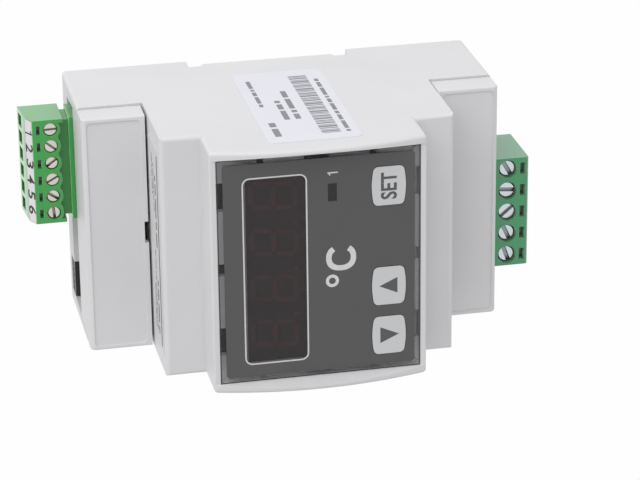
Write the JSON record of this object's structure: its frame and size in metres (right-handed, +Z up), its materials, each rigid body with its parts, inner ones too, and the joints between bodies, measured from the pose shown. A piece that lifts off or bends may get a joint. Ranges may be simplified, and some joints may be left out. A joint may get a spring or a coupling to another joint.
{
  "type": "temperature controller",
  "caption": "Rail-mounted temperature controller with a stepped housing, front display and keys, and pull-off screw terminal plugs at both ends.",
  "frame": {"origin": "middle of the rail's front face, where the controller's seat pad meets it", "axes": "+X along the rail to the controller's right, -Y out of the front, +Z up as mounted"},
  "size_m": [0.0539, 0.0614, 0.1104],
  "materials": {
    "housing_plastic": "fine matt moulded",
    "clip_plastic": "matt moulded",
    "panel_clear": "clear, polished",
    "foil_print": "satin printed film",
    "filter_smoke": "smoked film",
    "key_print": "satin printed film",
    "switch_plastic": "matt",
    "display_case": "matt",
    "display_bar": "diffuse unlit",
    "lamp_lens": "diffuse unlit",
    "board_laminate": "solder mask",
    "transformer_core": "potted",
    "relay_case": "moulded",
    "capacitor_can": "sleeved",
    "varistor_coat": "dipped",
    "chip_case": "moulded",
    "socket_plastic": "satin moulded",
    "input_green": "satin moulded",
    "output_green": "satin moulded",
    "contact_metal": "tin plated",
    "screw_metal": "nickel plated",
    "cage_metal": "nickel plated",
    "strip_white": "printed film",
    "label_paper": "satin film",
    "step_label_print": "satin film"
  },
  "bodies": {
    "enclosure": {"housing": "housing_plastic", "rear_base": "housing_plastic", "terminal_cover_top": "housing_plastic", "terminal_cover_bottom": "housing_plastic", "front_panel": "panel_clear", "overlay_foil": "foil_print", "display_filter": "filter_smoke", "key_switches": "switch_plastic", "display_module": "display_case", "display_segments": "display_bar", "indicator_led": "lamp_lens", "display_board": "board_laminate", "link_board": "board_laminate", "main_board": "board_laminate", "service_socket": "socket_plastic", "transformer": "transformer_core", "relay": "relay_case", "capacitor": "capacitor_can", "varistor": "varistor_coat", "controller_chip": "chip_case", "side_label": "label_paper", "step_labels": "step_label_print", "input_header": "input_green", "input_pins": "contact_metal", "output_header": "output_green", "output_pins": "contact_metal"},
    "set_key": {"set_key": "key_print", "set_plunger": "switch_plastic"},
    "up_key": {"up_key": "key_print", "up_plunger": "switch_plastic"},
    "down_key": {"down_key": "key_print", "down_plunger": "switch_plastic"},
    "din_clip": {"din_clip": "clip_plastic"},
    "input_plug": {"input_plug": "input_green", "input_contacts": "contact_metal", "number_strip": "strip_white"},
    "input_screw_1": {"input_screw_1": "screw_metal"},
    "input_cage_1": {"input_cage_1": "cage_metal"},
    "input_screw_2": {"input_screw_2": "screw_metal"},
    "input_cage_2": {"input_cage_2": "cage_metal"},
    "input_screw_3": {"input_screw_3": "screw_metal"},
    "input_cage_3": {"input_cage_3": "cage_metal"},
    "input_screw_4": {"input_screw_4": "screw_metal"},
    "input_cage_4": {"input_cage_4": "cage_metal"},
    "input_screw_5": {"input_screw_5": "screw_metal"},
    "input_cage_5": {"input_cage_5": "cage_metal"},
    "input_screw_6": {"input_screw_6": "screw_metal"},
    "input_cage_6": {"input_cage_6": "cage_metal"},
    "output_plug": {"output_plug": "output_green", "output_contacts": "contact_metal"},
    "output_screw_1": {"output_screw_1": "screw_metal"},
    "output_cage_1": {"output_cage_1": "cage_metal"},
    "output_screw_2": {"output_screw_2": "screw_metal"},
    "output_cage_2": {"output_cage_2": "cage_metal"},
    "output_screw_3": {"output_screw_3": "screw_metal"},
    "output_cage_3": {"output_cage_3": "cage_metal"},
    "output_screw_4": {"output_screw_4": "screw_metal"},
    "output_cage_4": {"output_cage_4": "cage_metal"},
    "output_screw_5": {"output_screw_5": "screw_metal"},
    "output_cage_5": {"output_cage_5": "cage_metal"}
  },
  "joints": [
    {"name": "set_press", "type": "slide", "parent": "enclosure", "child": "set_key", "axis": [0, 1, 0], "range_m": [0, 0.0002], "stiffness_N_per_m": 4000},
    {"name": "up_press", "type": "slide", "parent": "enclosure", "child": "up_key", "axis": [0, 1, 0], "range_m": [0, 0.0002], "stiffness_N_per_m": 4000},
    {"name": "down_press", "type": "slide", "parent": "enclosure", "child": "down_key", "axis": [0, 1, 0], "range_m": [0, 0.0002], "stiffness_N_per_m": 4000},
    {"name": "clip_slide", "type": "slide", "parent": "enclosure", "child": "din_clip", "axis": [0, 0, -1], "range_m": [0, 0.0034], "stiffness_N_per_m": 2000},
    {"name": "input_plug_pull", "type": "slide", "parent": "enclosure", "child": "input_plug", "axis": [0, 0, 1], "range_m": [0, 0.0085]},
    {"name": "input_cage_1_lift", "type": "slide", "parent": "input_plug", "child": "input_cage_1", "axis": [0, -1, 0], "range_m": [0, 0.002]},
    {"name": "input_screw_1_turn", "type": "hinge", "parent": "input_plug", "child": "input_screw_1", "pos_m": [0.01995, -0.013, 0.05], "axis": [0, 1, 0], "range_deg": [0, 1800]},
    {"name": "input_cage_2_lift", "type": "slide", "parent": "input_plug", "child": "input_cage_2", "axis": [0, -1, 0], "range_m": [0, 0.002]},
    {"name": "input_screw_2_turn", "type": "hinge", "parent": "input_plug", "child": "input_screw_2", "pos_m": [0.01614, -0.013, 0.05], "axis": [0, 1, 0], "range_deg": [0, 1800]},
    {"name": "input_cage_3_lift", "type": "slide", "parent": "input_plug", "child": "input_cage_3", "axis": [0, -1, 0], "range_m": [0, 0.002]},
    {"name": "input_screw_3_turn", "type": "hinge", "parent": "input_plug", "child": "input_screw_3", "pos_m": [0.01232, -0.013, 0.05], "axis": [0, 1, 0], "range_deg": [0, 1800]},
    {"name": "input_cage_4_lift", "type": "slide", "parent": "input_plug", "child": "input_cage_4", "axis": [0, -1, 0], "range_m": [0, 0.002]},
    {"name": "input_screw_4_turn", "type": "hinge", "parent": "input_plug", "child": "input_screw_4", "pos_m": [0.00851, -0.013, 0.05], "axis": [0, 1, 0], "range_deg": [0, 1800]},
    {"name": "input_cage_5_lift", "type": "slide", "parent": "input_plug", "child": "input_cage_5", "axis": [0, -1, 0], "range_m": [0, 0.002]},
    {"name": "input_screw_5_turn", "type": "hinge", "parent": "input_plug", "child": "input_screw_5", "pos_m": [0.0047, -0.013, 0.05], "axis": [0, 1, 0], "range_deg": [0, 1800]},
    {"name": "input_cage_6_lift", "type": "slide", "parent": "input_plug", "child": "input_cage_6", "axis": [0, -1, 0], "range_m": [0, 0.002]},
    {"name": "input_screw_6_turn", "type": "hinge", "parent": "input_plug", "child": "input_screw_6", "pos_m": [0.00089, -0.013, 0.05], "axis": [0, 1, 0], "range_deg": [0, 1800]},
    {"name": "output_plug_pull", "type": "slide", "parent": "enclosure", "child": "output_plug", "axis": [0, 0, -1], "range_m": [0, 0.0085]},
    {"name": "output_cage_1_lift", "type": "slide", "parent": "output_plug", "child": "output_cage_1", "axis": [0, -1, 0], "range_m": [0, 0.0031]},
    {"name": "output_screw_1_turn", "type": "hinge", "parent": "output_plug", "child": "output_screw_1", "pos_m": [0.00376, -0.0172, -0.04975], "axis": [0, 1, 0], "range_deg": [0, 2480]},
    {"name": "output_cage_2_lift", "type": "slide", "parent": "output_plug", "child": "output_cage_2", "axis": [0, -1, 0], "range_m": [0, 0.0031]},
    {"name": "output_screw_2_turn", "type": "hinge", "parent": "output_plug", "child": "output_screw_2", "pos_m": [-0.00132, -0.0172, -0.04975], "axis": [0, 1, 0], "range_deg": [0, 2480]},
    {"name": "output_cage_3_lift", "type": "slide", "parent": "output_plug", "child": "output_cage_3", "axis": [0, -1, 0], "range_m": [0, 0.0031]},
    {"name": "output_screw_3_turn", "type": "hinge", "parent": "output_plug", "child": "output_screw_3", "pos_m": [-0.0064, -0.0172, -0.04975], "axis": [0, 1, 0], "range_deg": [0, 2480]},
    {"name": "output_cage_4_lift", "type": "slide", "parent": "output_plug", "child": "output_cage_4", "axis": [0, -1, 0], "range_m": [0, 0.0031]},
    {"name": "output_screw_4_turn", "type": "hinge", "parent": "output_plug", "child": "output_screw_4", "pos_m": [-0.01148, -0.0172, -0.04975], "axis": [0, 1, 0], "range_deg": [0, 2480]},
    {"name": "output_cage_5_lift", "type": "slide", "parent": "output_plug", "child": "output_cage_5", "axis": [0, -1, 0], "range_m": [0, 0.0031]},
    {"name": "output_screw_5_turn", "type": "hinge", "parent": "output_plug", "child": "output_screw_5", "pos_m": [-0.01656, -0.0172, -0.04975], "axis": [0, 1, 0], "range_deg": [0, 2480]}
  ],
  "couplings": [
    {"joint": "input_screw_1_turn", "follows": "input_cage_1_lift", "rad_per_m": 15708},
    {"joint": "input_screw_2_turn", "follows": "input_cage_2_lift", "rad_per_m": 15708},
    {"joint": "input_screw_3_turn", "follows": "input_cage_3_lift", "rad_per_m": 15708},
    {"joint": "input_screw_4_turn", "follows": "input_cage_4_lift", "rad_per_m": 15708},
    {"joint": "input_screw_5_turn", "follows": "input_cage_5_lift", "rad_per_m": 15708},
    {"joint": "input_screw_6_turn", "follows": "input_cage_6_lift", "rad_per_m": 15708},
    {"joint": "output_screw_1_turn", "follows": "output_cage_1_lift", "rad_per_m": 13963},
    {"joint": "output_screw_2_turn", "follows": "output_cage_2_lift", "rad_per_m": 13963},
    {"joint": "output_screw_3_turn", "follows": "output_cage_3_lift", "rad_per_m": 13963},
    {"joint": "output_screw_4_turn", "follows": "output_cage_4_lift", "rad_per_m": 13963},
    {"joint": "output_screw_5_turn", "follows": "output_cage_5_lift", "rad_per_m": 13963}
  ]
}
